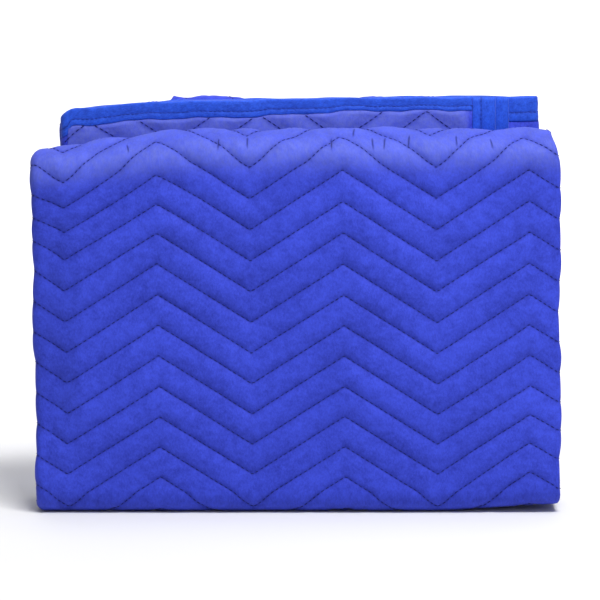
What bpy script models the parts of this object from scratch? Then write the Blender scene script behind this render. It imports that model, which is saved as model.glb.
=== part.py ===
"""A quilted moving blanket, folded in four across its width and then in six along its length.

The folded blanket stands on its bottom fold with its plain front face towards -Y. The blanket is
one quilted pad, whose four edges are bound with folded strips of tape. Sizes are in metres.

The pad is a loft. The section is the four sheets of the width fold, one back-and-forth outline.
The route is the line that this strip of four sheets takes through the six folded panels.
"""

import math
from collections import namedtuple

import bmesh
import bpy

# The sheet and its quilting
SHEET_THICK = 0.0032
SHEET_PITCH = 0.0036
ZIGZAG_STEP = 0.0809
ZIGZAG_RISE = 0.051
ZIGZAG_START = -0.2016
ZIGZAG_COLUMNS = 6
ROW_PITCH = 0.0267
ROW_ABOVE_BASE = 0.0074
TROUGH_DEPTH = 0.0011
ROW_FADE = 0.034

# The fold across the width, seen along the route
FOLDED_WIDTH = 0.460
OUTER_EDGE = 0.192
INNER_EDGE = 0.214
SHARED_COLUMNS = (-0.1225, 0.1225)
FOLD_STEP = 45

# The fold along the length, seen from the side
LAYER_PITCH = 0.015
FLAP_TOP = 0.356
BACK_BEND = 0.3385
FRONT_BEND = 0.307
INSIDE_TOP = 0.306
TURN_HEIGHT = 0.0295
TURN_RADIUS = LAYER_PITCH / 2
CORNER_RADIUS = 0.012
BROW_RADIUS = 0.014
BROW_ANGLE = 60
RIDGE_RADIUS = 0.009
LEVELS = (0.230, 0.110)
UPRIGHT = 0.9

# The bindings
TAPE_WIDTH = 0.022
TAPE_THICK = 0.0005
TAPE_GAP = 0.0004
EDGE_GAP = 0.0008
PRESSED_STEP = 0.0020

# The unevenness of the folded bundle
CROWN = 0.09
RIGHT_LIFT = 0.006
FRONT_DROOP = 0.017
BACK_DROOP = 0.011

HALF = SHEET_THICK / 2
PRESSED_HALF = HALF - TAPE_THICK - TAPE_GAP
STACK_HALF = 1.5 * SHEET_PITCH + HALF
LEFT_CENTRE = -FOLDED_WIDTH / 2 + STACK_HALF
RIGHT_CENTRE = FOLDED_WIDTH / 2 - SHEET_PITCH / 2 - HALF
PRESSED_WIDTH = TAPE_WIDTH + 0.0005

Leg = namedtuple("Leg", "name run radius turn pieces")
Ring = namedtuple("Ring", "along pressed trough skew")
Spot = namedtuple("Spot", "across depth out_across out_depth pressed quilted")
Rim = namedtuple("Rim", "leg left right")
Knot = namedtuple("Knot", "place value")

SLOPE_RUN = (
    2 * LAYER_PITCH
    - BROW_RADIUS * (1 - math.cos(math.radians(BROW_ANGLE)))
    - RIDGE_RADIUS * (1 + math.cos(math.radians(BROW_ANGLE)))
) / math.sin(math.radians(BROW_ANGLE))
RIDGE_END = (
    FRONT_BEND
    + (BROW_RADIUS - RIDGE_RADIUS) * math.sin(math.radians(BROW_ANGLE))
    + SLOPE_RUN * math.cos(math.radians(BROW_ANGLE))
)
BASE_HEIGHT = STACK_HALF
CORNER_HEIGHT = BASE_HEIGHT + CORNER_RADIUS

# The legs of the route, from the flap's bound end at the top to the end that lies inside
LEGS = (
    Leg("flap", FLAP_TOP - TURN_HEIGHT, 0, 0, 0),
    Leg("flap_turn", 0, TURN_RADIUS, 180, 5),
    Leg("middle", BACK_BEND - TURN_HEIGHT, 0, 0, 0),
    Leg("back_turn", 0, TURN_RADIUS, -180, 7),
    Leg("back", BACK_BEND - CORNER_HEIGHT, 0, 0, 0),
    Leg("back_corner", 0, CORNER_RADIUS, -90, 4),
    Leg("base", 5 * LAYER_PITCH - 2 * CORNER_RADIUS, 0, 0, 0),
    Leg("front_corner", 0, CORNER_RADIUS, -90, 4),
    Leg("front", FRONT_BEND - CORNER_HEIGHT, 0, 0, 0),
    Leg("brow", 0, BROW_RADIUS, -BROW_ANGLE, 3),
    Leg("slope", SLOPE_RUN, 0, 0, 0),
    Leg("ridge", 0, RIDGE_RADIUS, BROW_ANGLE - 180, 5),
    Leg("inside_down", RIDGE_END - TURN_HEIGHT, 0, 0, 0),
    Leg("inside_turn", 0, TURN_RADIUS, -180, 5),
    Leg("inside_up", INSIDE_TOP - TURN_HEIGHT, 0, 0, 0),
)
QUILTED_LEGS = ("back", "front")

# Where the left and right rims of the bundle lie at the start of a leg
RIMS = (
    Rim("flap", -0.207, 0.211),
    Rim("back", -0.208, 0.212),
    Rim("back_corner", -0.226, 0.226),
    Rim("front_corner", -0.227, 0.230),
    Rim("brow", -0.230, 0.227),
    Rim("ridge", -0.229, 0.220),
    Rim("inside_down", -0.229, 0.222),
    Rim("inside_turn", -0.226, 0.226),
)

# How far each kind of unevenness acts across the bundle and up it
RIM = FOLDED_WIDTH / 2
CROWN_ACROSS = (Knot(-RIM, 0), Knot(SHARED_COLUMNS[0], 1), Knot(SHARED_COLUMNS[1], 1), Knot(RIM, 0))
CROWN_UP = (Knot(TURN_HEIGHT, 0), Knot(LEVELS[1], 1), Knot(LEVELS[0], 1), Knot(BACK_BEND, 0))
LIFT_ACROSS = (Knot(SHARED_COLUMNS[1], 0), Knot(RIM, 1))
LIFT_UP = (Knot(TURN_HEIGHT, 1), Knot(LEVELS[1], 0))
DROOP_ACROSS = (Knot(-RIM, 1), Knot(SHARED_COLUMNS[0], 0.3), Knot(SHARED_COLUMNS[1], 0))
DROOP_UP = (Knot(LEVELS[0], 0), Knot(INSIDE_TOP, 1))


def read_off(knots, place):
    """The value at a place, on straight lines between knots."""
    if place <= knots[0].place:
        return knots[0].value
    for low, high in zip(knots, knots[1:]):
        if place <= high.place:
            share = (place - low.place) / (high.place - low.place)
            return low.value + share * (high.value - low.value)
    return knots[-1].value


def leg_length(leg):
    return leg.run + leg.radius * math.radians(abs(leg.turn))


def leg_starts():
    """Each leg's start: its distance along the route, its place and its heading in degrees."""
    starts = {}
    along, y, z, heading = 0.0, LAYER_PITCH / 2, FLAP_TOP, -90.0
    for leg in LEGS:
        starts[leg.name] = (along, y, z, heading)
        y, z, heading = step_along(leg, y, z, heading, leg_length(leg))
        along += leg_length(leg)
    starts["end"] = (along, y, z, heading)
    return starts


def step_along(leg, y, z, heading, distance):
    """The place and heading at a distance from a leg's start."""
    angle = math.radians(heading)
    if not leg.turn:
        return y + distance * math.cos(angle), z + distance * math.sin(angle), heading
    side = math.copysign(1, leg.turn)
    turned = side * distance / leg.radius
    centre_y = y - side * leg.radius * math.sin(angle)
    centre_z = z + side * leg.radius * math.cos(angle)
    y = centre_y + side * leg.radius * math.sin(angle + turned)
    z = centre_z - side * leg.radius * math.cos(angle + turned)
    return y, z, heading + math.degrees(turned)


STARTS = leg_starts()
ROUTE_LENGTH = STARTS["end"][0]


def leg_at(along):
    found = LEGS[0]
    for leg in LEGS:
        if along >= STARTS[leg.name][0]:
            found = leg
    return found


def rims_at(along):
    """The places of the left and right rims at a distance along the route."""
    left = [Knot(STARTS[rim.leg][0], rim.left) for rim in RIMS]
    right = [Knot(STARTS[rim.leg][0], rim.right) for rim in RIMS]
    return read_off(left, along), read_off(right, along)


def place(along, across, depth):
    """The point of the folded bundle at a distance along the route, across it and off its middle."""
    leg = leg_at(along)
    start, y, z, heading = STARTS[leg.name]
    y, z, heading = step_along(leg, y, z, heading, along - start)
    angle = math.radians(heading)
    y += depth * math.sin(angle)
    z -= depth * math.cos(angle)
    crown = 1 + CROWN * read_off(CROWN_ACROSS, across) * read_off(CROWN_UP, z)
    lift = RIGHT_LIFT * read_off(LIFT_ACROSS, across) * read_off(LIFT_UP, z)
    most_droop = FRONT_DROOP if along > STARTS["front"][0] else BACK_DROOP
    droop = most_droop * read_off(DROOP_ACROSS, across) * read_off(DROOP_UP, z)
    left, right = rims_at(along)
    share = across / FOLDED_WIDTH + 0.5
    return left + share * (right - left), y * crown, z + lift - droop


def fold_spots(centre_across, centre_depth, radius, first, last, outward, step=FOLD_STEP):
    """Spots round one side of a fold, by angle in degrees."""
    turns = round(abs(last - first) / step)
    spots = []
    for i in range(turns + 1):
        angle = math.radians(first + (last - first) * i / turns)
        cos, sin = math.cos(angle), math.sin(angle)
        middle = (centre_across + radius * cos, centre_depth + radius * sin)
        spots.append(Spot(*middle, outward * cos, outward * sin, False, False))
    return spots


def face_spots(level, side, columns):
    return [Spot(column, level, 0, side, False, False) for column in columns]


def edge_spots(level, side, edge):
    """Spots on one face of a sheet near its free edge, which the tape presses thin."""
    end = Spot(edge - TAPE_THICK - EDGE_GAP, level, 0, side, True, False)
    inner = Spot(edge - PRESSED_WIDTH, level, 0, side, True, False)
    full = Spot(edge - PRESSED_WIDTH - PRESSED_STEP, level, 0, side, False, False)
    return [full, inner, end]


def pad_section():
    """The closed outline of the four sheets, from the flap face's free edge round to it again."""
    left_column, right_column = SHARED_COLUMNS
    top, upper, lower, bottom = (SHEET_PITCH * level for level in (1.5, 0.5, -0.5, -1.5))
    columns = [ZIGZAG_START + ZIGZAG_STEP * i for i in range(ZIGZAG_COLUMNS)]
    wide, tight = 1.5 * SHEET_PITCH, 0.5 * SHEET_PITCH
    right_depth = -SHEET_PITCH
    outer_face = [spot._replace(quilted=True) for spot in face_spots(bottom, -1, columns)]
    return (
        edge_spots(top, 1, OUTER_EDGE)[::-1]
        + face_spots(top, 1, (right_column, left_column))
        + fold_spots(LEFT_CENTRE, 0, wide, 90, 270, 1)
        + outer_face
        + fold_spots(RIGHT_CENTRE, right_depth, tight, -90, 90, 1)
        + face_spots(lower, 1, (right_column, left_column))
        + fold_spots(LEFT_CENTRE, 0, tight, 270, 90, -1, 90)
        + face_spots(upper, -1, (left_column, right_column))
        + edge_spots(upper, -1, INNER_EDGE)
        + edge_spots(upper, 1, INNER_EDGE)[::-1]
        + face_spots(upper, 1, (right_column, left_column))
        + fold_spots(LEFT_CENTRE, 0, tight, 90, 270, 1)
        + face_spots(lower, -1, (left_column, right_column))
        + fold_spots(RIGHT_CENTRE, right_depth, tight, 90, -90, -1, 90)
        + face_spots(bottom, 1, (right_column, left_column))
        + fold_spots(LEFT_CENTRE, 0, wide, 270, 90, -1)
        + face_spots(top, -1, (left_column, right_column))
        + edge_spots(top, -1, OUTER_EDGE)
    )


def zigzag(across):
    """How far a stitch line lies along the route from its middle, up to half the rise each way."""
    steps = (across - ZIGZAG_START) / ZIGZAG_STEP
    return ZIGZAG_RISE * (0.5 - abs(steps % 2 - 1))


def plain_ring(along):
    return Ring(along, False, 0, 0)


def quilt_rings(leg):
    """Rings on the crests and troughs of one leg's quilting."""
    start = STARTS[leg.name][0]
    first_row = STARTS["front"][0] + ROW_ABOVE_BASE - CORNER_HEIGHT
    rings = []
    half_rows = math.ceil((start - first_row) / (ROW_PITCH / 2))
    while True:
        along = first_row + half_rows * ROW_PITCH / 2
        inside = min(along - start, start + leg.run - along)
        if along > start + leg.run - ROW_PITCH / 8:
            return rings
        if inside > ROW_PITCH / 8:
            rings.append(Ring(along, False, 1 - half_rows % 2, min(1, inside / ROW_FADE)))
        half_rows += 1


def straight_rings(leg):
    """Rings on a plain leg, where it passes the levels that the bundle's crown turns on."""
    start, _, height, heading = STARTS[leg.name]
    rise = math.sin(math.radians(heading))
    if abs(rise) < UPRIGHT:
        return []
    rings = []
    for level in sorted(LEVELS, reverse=rise < 0):
        rings.append(plain_ring(start + abs(level - height)))
    return rings


def pressed_rings(first, inwards):
    """Rings at one end of the blanket, which the tape presses thin."""
    end = Ring(first + inwards * (TAPE_THICK + EDGE_GAP), True, 0, 0)
    inner = Ring(first + inwards * PRESSED_WIDTH, True, 0, 0)
    full = plain_ring(first + inwards * (PRESSED_WIDTH + PRESSED_STEP))
    return [end, inner, full]


def pad_rings():
    """Every ring of the pad, from the flap's end to the end that lies inside."""
    rings = pressed_rings(0, 1)
    for leg in LEGS:
        start = STARTS[leg.name][0]
        if leg.name != "flap":
            rings.append(plain_ring(start))
        if leg.name in QUILTED_LEGS:
            rings += quilt_rings(leg)
        elif leg.turn:
            rings += [plain_ring(start + leg_length(leg) * i / leg.pieces) for i in range(1, leg.pieces)]
        else:
            rings += straight_rings(leg)
    return rings + pressed_rings(ROUTE_LENGTH, -1)[::-1]


def tape_rings():
    """The rings that a side tape needs: all but the quilting's and the pad's pressed ends."""
    kept = [ring for ring in pad_rings() if not ring.pressed and not ring.skew]
    levels = [ring for leg in LEGS if leg.name in QUILTED_LEGS for ring in straight_rings(leg)]
    ends = [plain_ring(0), plain_ring(ROUTE_LENGTH)]
    return sorted(kept + levels + ends)


def off_middle(spot, off):
    """Across and depth of a point that stands off the middle of the sheet at a spot."""
    return spot.across + spot.out_across * off, spot.depth + spot.out_depth * off


def pad_point(ring, spot):
    half = PRESSED_HALF if ring.pressed or spot.pressed else HALF
    along = ring.along
    if spot.quilted:
        half -= TROUGH_DEPTH * ring.trough
        along += ring.skew * zigzag(spot.across)
    return place(along, *off_middle(spot, half))


def tape_outline():
    """A tape's folded section: how far in from the edge, and how far off the sheet's middle."""
    outer, inner = HALF, HALF - TAPE_THICK
    return (
        (TAPE_WIDTH, outer),
        (outer * 0.6, outer),
        (0, outer * 0.4),
        (0, -outer * 0.4),
        (outer * 0.6, -outer),
        (TAPE_WIDTH, -outer),
        (TAPE_WIDTH, -inner),
        (outer * 0.6 + TAPE_THICK / 2, -inner),
        (TAPE_THICK, -inner * 0.4),
        (TAPE_THICK, inner * 0.4),
        (outer * 0.6 + TAPE_THICK / 2, inner),
        (TAPE_WIDTH, inner),
    )


def side_tape(level, edge):
    """The points of a tape that runs the blanket's whole length on one side edge."""
    return [
        [place(ring.along, edge - inwards, level + off) for inwards, off in tape_outline()]
        for ring in tape_rings()
    ]


def width_stations():
    """Spots on the middle of the sheets, from the inner free edge to the outer one."""
    top, upper, lower, bottom = (SHEET_PITCH * level for level in (1.5, 0.5, -0.5, -1.5))
    left_column, right_column = SHARED_COLUMNS
    inner_start = INNER_EDGE - TAPE_WIDTH - TAPE_GAP
    outer_start = OUTER_EDGE - TAPE_WIDTH - TAPE_GAP
    wide, tight = 1.5 * SHEET_PITCH, 0.5 * SHEET_PITCH
    return (
        face_spots(upper, 1, (inner_start, right_column, left_column))
        + fold_spots(LEFT_CENTRE, 0, tight, 90, 270, 1)
        + face_spots(lower, -1, (left_column, right_column))
        + fold_spots(RIGHT_CENTRE, -SHEET_PITCH, tight, 90, -90, -1)
        + face_spots(bottom, 1, (right_column, left_column))
        + fold_spots(LEFT_CENTRE, 0, wide, 270, 90, -1)
        + face_spots(top, -1, (left_column, right_column, outer_start))
    )


def end_tape(first, towards):
    """The points of a tape that runs across the four folded sheets at one end."""
    return [
        [place(first + towards * inwards, *off_middle(spot, off)) for inwards, off in tape_outline()]
        for spot in width_stations()
    ]


def loft(name, rings, material, collection):
    """A closed solid through rings of points that match one to one."""
    bm = bmesh.new()
    rows = [[bm.verts.new(point) for point in ring] for ring in rings]
    count = len(rings[0])
    for row, following in zip(rows, rows[1:]):
        for i in range(count):
            j = (i + 1) % count
            bm.faces.new((row[i], row[j], following[j], following[i]))
    bm.faces.new(rows[0][::-1])
    bm.faces.new(rows[-1])
    if bm.calc_volume(signed=True) < 0:
        bmesh.ops.reverse_faces(bm, faces=bm.faces[:])
    mesh = bpy.data.meshes.new(name)
    bm.to_mesh(mesh)
    bm.free()
    mesh.materials.append(material)
    mesh.shade_smooth()
    mesh.set_sharp_from_angle(angle=math.radians(40))
    obj = bpy.data.objects.new(name, mesh)
    collection.objects.link(obj)
    return obj


def cloth_material(name, colour, roughness):
    material = bpy.data.materials.new(name)
    material.use_nodes = True
    shader = material.node_tree.nodes["Principled BSDF"]
    shader.inputs["Base Color"].default_value = (*colour, 1)
    shader.inputs["Roughness"].default_value = roughness
    shader.inputs["Metallic"].default_value = 0
    return material


def clear_scene():
    for obj in list(bpy.data.objects):
        bpy.data.objects.remove(obj)


def build():
    clear_scene()
    collection = bpy.data.collections.new("moving_blanket")
    bpy.context.scene.collection.children.link(collection)
    shell = cloth_material("quilted_shell", (0.052, 0.070, 0.58), 0.85)
    tape = cloth_material("binding_tape", (0.012, 0.050, 0.50), 0.75)
    section = pad_section()
    pad = [[pad_point(ring, spot) for spot in section] for ring in pad_rings()]
    loft("quilted_pad", pad, shell, collection)
    top, upper = 1.5 * SHEET_PITCH, 0.5 * SHEET_PITCH
    loft("side_binding_outer", side_tape(top, OUTER_EDGE), tape, collection)
    loft("side_binding_inner", side_tape(upper, INNER_EDGE), tape, collection)
    loft("end_binding_flap", end_tape(0, 1), tape, collection)
    loft("end_binding_inside", end_tape(ROUTE_LENGTH, -1), tape, collection)


build()
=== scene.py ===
import math

import bmesh
import bpy
import numpy as np
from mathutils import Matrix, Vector


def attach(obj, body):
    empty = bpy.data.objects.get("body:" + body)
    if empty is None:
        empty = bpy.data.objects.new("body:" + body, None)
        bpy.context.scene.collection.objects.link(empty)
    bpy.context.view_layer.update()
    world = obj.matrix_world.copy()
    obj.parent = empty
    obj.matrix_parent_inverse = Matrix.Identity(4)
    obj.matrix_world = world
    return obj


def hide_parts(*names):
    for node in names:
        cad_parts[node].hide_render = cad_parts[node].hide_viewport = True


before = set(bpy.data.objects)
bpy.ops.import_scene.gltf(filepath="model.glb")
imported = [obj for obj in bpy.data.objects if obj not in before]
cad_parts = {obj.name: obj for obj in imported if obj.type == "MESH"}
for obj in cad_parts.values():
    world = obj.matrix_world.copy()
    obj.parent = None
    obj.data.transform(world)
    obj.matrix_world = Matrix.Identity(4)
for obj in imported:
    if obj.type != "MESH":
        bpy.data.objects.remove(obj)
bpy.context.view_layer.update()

# How the blanket is folded, in metres: as in its solids, but with the loose edges 4 and 13 mm further in
fold = {
    "sheetThick": 0.0032,
    "sheetPitch": 0.0036,
    "width": 0.460,
    "outerEdge": 0.188,
    "innerEdge": 0.201,
    "layerPitch": 0.015,
    "flapTop": 0.356,
    "backBend": 0.3385,
    "frontBend": 0.307,
    "insideTop": 0.306,
    "turnHeight": 0.0295,
    "cornerRadius": 0.012,
    "browRadius": 0.014,
    "browAngle": 60,
    "ridgeRadius": 0.009,
    "crown": 0.09,
    "rightLift": 0.006,
    "frontDroop": 0.017,
    "backDroop": 0.011,
    "rimPinch": (0.22, 0.15),
    "rimPinchWidth": 0.042,
    "hiddenPush": 0.0004,
    "pressedPush": 0.0001,
}

# The zigzag rows of stitching, the cloth between them, and the rings and columns that the sheet gets
quilt = {
    "step": 0.0809,
    "rise": 0.051,
    "start": -0.2016,
    "pitch": 0.0267,
    "aboveBase": 0.0074,
    "depth": 0.00150,
    "sharpShare": 0.38,
    "sharpPower": 6,
    "softPower": 1.7,
    "pullShare": 0.14,
    "pullWave": 0.113,
    "pillow": 0.00130,
    "puckerDepth": 0.00042,
    "puckerWave": 0.0162,
    "puffDepth": 0.00060,
    "puffs": ((0.062, 0.084, 0.2, 0.5), (0.041, -0.055, 0.7, 0.3), (0.027, 0.120, 0.4, 0.2)),
    "calmFrom": 0.205,
    "calmWidth": 0.020,
    "calmShare": 0.62,
    "baseMiddle": 0.0255,
    "baseReach": 0.05,
    "baseFlattening": 1.4,
    # Wear with painted light on the ridge and brow: leg, distance past its start, width, share
    "wearAndPaintedLight": (("ridge", 0.012, 0.016, 1.0), ("brow", 0.007, 0.012, 0.8)),
    # How far down the flap its painted light reaches
    "flapPaintedLight": 0.025,
    "flapGrooves": 0.4,
    "flapPuffs": 0.8,
    "columnsPerStep": 24,
    "coarseColumn": 0.057,
    "coarseFirst": 8,
    "phases": (0, 0.04, 0.10, 0.18, 0.27, 0.38, 0.5, 0.62, 0.73, 0.82, 0.90, 0.96),
    "mediumPhases": (0, 0.10, 0.27, 0.5, 0.73, 0.90),
    "coarsePhases": (0, 0.5),
    "bendMargin": 0.013,
    "shownMargin": 0.036,
    "blend": 0.065,
    "endBlend": 0.065,
    "insideBlend": 0.030,
    "insideMargin": 0.026,
    "flapRow": 0.002,
    "flapShown": 0.060,
}

# The folded tape on the blanket's edges
tape = {
    "width": 0.022,
    "edgeGap": 0.0013,
    "pressedHalf": 0.00068,
    "pressedStep": 0.0020,
    "coverHalf": 0.00102,
    "stitchFrom": 0.0138,
    "outline": (
        0.0220, 0.0212, 0.0190, 0.0168, 0.0150, 0.0143, 0.0138,
        0.0133, 0.0124, 0.0105, 0.0075, 0.0045, 0.0022,
    ),
    "noseLength": 0.0017,
    "outerPuff": 0.0007,
    "innerPuff": 0.0005,
    "puckerReach": 0.0065,
    "puckers": ((0.0125, 1, 0.00012), (0.0083, 2.3, 0.000072), (0.047, 0.7, 0.00010)),
    "sidePuckers": (0.0005, 0.0005),
    "endPuckers": (0.0008, 0.0004),
    "seamWidth": 0.0009,
    "stationStep": 0.0040,
    "bendStep": 0.0024,
    "shownAcross": (-0.215, -0.040, 0.060),
    "shownShare": (0.70, 0.66, 0.52),
    "shownWaves": ((0.071, 0.02), (0.023, 0.012)),
    "hemPast": 0.0005,
    "faceGap": 0.004,
    "pathGap": 0.0004,
}

half = fold["sheetThick"] / 2
stackHalf = 1.5 * fold["sheetPitch"] + half
rim = fold["width"] / 2
leftCentre = -rim + stackHalf
rightCentre = rim - fold["sheetPitch"] / 2 - half
cornerHeight = stackHalf + fold["cornerRadius"]
levels = [fold["sheetPitch"] * share for share in (1.5, 0.5, -0.5, -1.5)]
wide, tight = 1.5 * fold["sheetPitch"], 0.5 * fold["sheetPitch"]


# The route of the strip of four sheets, seen from the side: name, straight run, bend radius, turn in degrees
def routeLegs():
    turnRadius = fold["layerPitch"] / 2
    cos, sin = math.cos(math.radians(fold["browAngle"])), math.sin(math.radians(fold["browAngle"]))
    brow, ridge = fold["browRadius"], fold["ridgeRadius"]
    slope = (2 * fold["layerPitch"] - brow * (1 - cos) - ridge * (1 + cos)) / sin
    ridgeEnd = fold["frontBend"] + (brow - ridge) * sin + slope * cos
    low, corner = fold["turnHeight"], fold["cornerRadius"]
    return [
        ("flap", fold["flapTop"] - low, 0, 0),
        ("flapTurn", 0, turnRadius, 180),
        ("middle", fold["backBend"] - low, 0, 0),
        ("backTurn", 0, turnRadius, -180),
        ("back", fold["backBend"] - cornerHeight, 0, 0),
        ("backCorner", 0, corner, -90),
        ("base", 5 * fold["layerPitch"] - 2 * corner, 0, 0),
        ("frontCorner", 0, corner, -90),
        ("front", fold["frontBend"] - cornerHeight, 0, 0),
        ("brow", 0, brow, -fold["browAngle"]),
        ("slope", slope, 0, 0),
        ("ridge", 0, ridge, fold["browAngle"] - 180),
        ("insideDown", ridgeEnd - low, 0, 0),
        ("insideTurn", 0, turnRadius, -180),
        ("insideUp", fold["insideTop"] - low, 0, 0),
    ]


# The place and heading at a distance from a leg's start; distance may be an array
def stepAlong(leg, y, z, heading, distance):
    run, radius, turn = leg[1:]
    angle = math.radians(heading)
    if not turn:
        return y + distance * math.cos(angle), z + distance * math.sin(angle), angle + 0 * distance
    side = math.copysign(1, turn)
    turned = angle + side * distance / radius
    centreY = y - side * radius * math.sin(angle)
    centreZ = z + side * radius * math.cos(angle)
    return centreY + side * radius * np.sin(turned), centreZ - side * radius * np.cos(turned), turned


def legLength(leg):
    return leg[1] + leg[2] * math.radians(abs(leg[3]))


def legStarts(legs):
    starts = []
    along, y, z, heading = 0.0, fold["layerPitch"] / 2, fold["flapTop"], -90.0
    for leg in legs:
        starts.append((along, y, z, heading))
        y, z, angle = stepAlong(leg, y, z, heading, legLength(leg))
        heading = math.degrees(angle)
        along += legLength(leg)
    return starts, along


legs = routeLegs()
starts, routeLength = legStarts(legs)
startOf = {leg[0]: start[0] for leg, start in zip(legs, starts)}
startAlongs = np.array([start[0] for start in starts])
firstRow = startOf["front"] + quilt["aboveBase"] - cornerHeight

# Where the left and right rims lie at the start of a leg
rims = {
    "leg": ("flap", "back", "backCorner", "frontCorner", "brow", "ridge", "insideDown", "insideTurn"),
    "left": (-0.207, -0.208, -0.226, -0.227, -0.230, -0.229, -0.229, -0.226),
    "right": (0.211, 0.212, 0.226, 0.230, 0.227, 0.220, 0.222, 0.226),
}

# Knots of the bundle's unevenness: places in metres, and how much acts there
knots = {
    "crownAcross": ((-0.230, -0.1225, 0.1225, 0.230), (0, 1, 1, 0)),
    "crownUp": ((0.0295, 0.110, 0.230, 0.3385), (0, 1, 1, 0)),
    "liftAcross": ((0.1225, 0.230), (0, 1)),
    "liftUp": ((0.0295, 0.110), (1, 0)),
    "backDroopAcross": ((-0.230, -0.1225, 0.1225), (1, 0.3, 0)),
    "frontDroopAcross": ((-0.230, -0.206, -0.150, -0.085), (1, 0.86, 0.44, 0)),
    "droopUp": ((0.230, 0.306), (0, 1)),
}


# The value at a place between knots, eased so that no crease shows at a knot
def eased(places, values, at):
    places, values = np.asarray(places, float), np.asarray(values, float)
    at = np.clip(at, places[0], places[-1])
    i = np.clip(np.searchsorted(places, at, side="right") - 1, 0, len(places) - 2)
    share = (at - places[i]) / (places[i + 1] - places[i])
    share = share * (0.5 + share * (1.5 - share))  # between a straight line and a full ease
    return values[i] + share * (values[i + 1] - values[i])


def bell(distance, width):
    return np.exp(-(distance / width) ** 2)


def easedShare(share):
    share = np.clip(share, 0, 1)
    return share * share * (3 - 2 * share)


# Local lifts and drops of the back group's upper edge, whose middle is this far past its turn's start
topEdge = {
    "middle": 0.012,
    "reach": 0.030,
    "stepAcross": -0.1249,
    "stepWidth": 0.0034,
    "stepEnd": -0.070,
    "stepFade": 0.026,
    "stepRise": 0.0044,
    "cornerWidth": 0.016,
    "cornerDrop": 0.0075,
    "cornerFrontShare": 0.25,
    "cornerFrom": 0.30,
    "cornerHeight": 0.055,
    "riseFrom": 0.16,
    "riseHeight": 0.18,
    "backRise": 0.0045,
    "frontRise": 0.0012,
}


def edgeLift(along, across, z):
    near = bell(along - startOf["backTurn"] - topEdge["middle"], topEdge["reach"])
    step = easedShare((across - topEdge["stepAcross"]) / topEdge["stepWidth"])
    step = step * easedShare((topEdge["stepEnd"] + topEdge["stepFade"] - across) / topEdge["stepFade"])
    atBack = along < startOf["backCorner"]
    corner = np.clip((topEdge["cornerWidth"] - rim - across) / topEdge["cornerWidth"], 0, 1) ** 2
    corner = corner * np.where(atBack, 1, topEdge["cornerFrontShare"])
    corner = corner * np.clip((z - topEdge["cornerFrom"]) / topEdge["cornerHeight"], 0, 1)
    rise = np.where(atBack, topEdge["backRise"], topEdge["frontRise"])
    rise = rise * easedShare((z - topEdge["riseFrom"]) / topEdge["riseHeight"])
    return topEdge["stepRise"] * near * step - topEdge["cornerDrop"] * corner + rise


# The soft unevenness that all layers share, as sums of waves: wave across, wave up, phase, size in metres
swells = {
    "depth": (
        (0.31, 0.42, 0.10, 0.0016), (0.17, -0.23, 0.35, 0.0011),
        (0.095, 0.19, 0.60, 0.0004), (0.066, -0.12, 0.15, 0.00015),
    ),
    "side": ((0.080, 0.145, 0.0, 0.0008), (0.034, 0.071, 0.3, 0.0004), (0.021, 0.043, 0.7, 0.00025)),
    "top": ((0.190, 0.05, 0.2, 0.0004), (0.062, 0.04, 0.5, 0.00035), (0.034, 0.03, 0.9, 0.0002)),
    "depthFrom": 0.016,
    "depthGrowth": 0.09,
    "rimCalm": 0.6,
    "topFrom": 0.20,
    "topGrowth": 0.12,
}


def waves(rows, first, second):
    total = 0
    for firstWave, secondWave, phase, size in rows:
        total = total + size * np.sin(2 * math.pi * (first / firstWave + second / secondWave + phase))
    return total


# Bends the whole bundle a little, the same for every layer and for what is sewn to it
def unevenness(x, y, z):
    up = easedShare((z - swells["depthFrom"]) / swells["depthGrowth"])
    atRim = np.clip(np.abs(x) / rim, 0, 1) ** 4
    atTop = np.clip((z - swells["topFrom"]) / swells["topGrowth"], 0, 1) ** 2
    newX = x + atRim * waves(swells["side"], y, z)
    newY = y + up * (1 - swells["rimCalm"] * atRim) * waves(swells["depth"], x, z)
    newZ = z + atTop * waves(swells["top"], x, y)
    return newX, newY, newZ


# Points of the folded bundle, from distance along the route, place across it and depth off its middle
def bundlePoints(along, across, depth):
    along, across, depth = np.broadcast_arrays(along, across, depth)
    which = np.clip(np.searchsorted(startAlongs, along, side="right") - 1, 0, len(legs) - 1)
    y, z, angle = np.zeros((3, *along.shape))
    for i, leg in enumerate(legs):
        here = which == i
        start, startY, startZ, heading = starts[i]
        y[here], z[here], angle[here] = stepAlong(leg, startY, startZ, heading, along[here] - start)
    y = y + depth * np.sin(angle)
    z = z - depth * np.cos(angle)
    crown = 1 + fold["crown"] * eased(*knots["crownAcross"], across) * eased(*knots["crownUp"], z)
    lift = fold["rightLift"] * eased(*knots["liftAcross"], across) * eased(*knots["liftUp"], z)
    backDroop = fold["backDroop"] * eased(*knots["backDroopAcross"], across)
    frontDroop = fold["frontDroop"] * eased(*knots["frontDroopAcross"], across)
    droop = np.where(along > startOf["front"], frontDroop, backDroop) * eased(*knots["droopUp"], z)
    rimAlongs = [startOf[name] for name in rims["leg"]]
    left, right = eased(rimAlongs, rims["left"], along), eased(rimAlongs, rims["right"], along)
    x = left + (across / fold["width"] + 0.5) * (right - left)
    pinch = eased((-rim, -rim + fold["rimPinchWidth"]), (fold["rimPinch"][0], 0), across)
    pinch = pinch + eased((rim - fold["rimPinchWidth"], rim), (0, fold["rimPinch"][1]), across)
    crown = crown * (1 - pinch * eased(*knots["crownUp"], z))
    x, y, z = unevenness(x, y * crown, z + lift - droop + edgeLift(along, across, z))
    return np.stack([x, y, np.maximum(z, 0)], axis=-1)


def zigzag(across):
    steps = (across - quilt["start"]) / quilt["step"]
    return quilt["rise"] * (0.5 - np.abs(np.mod(steps, 2) - 1))


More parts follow.
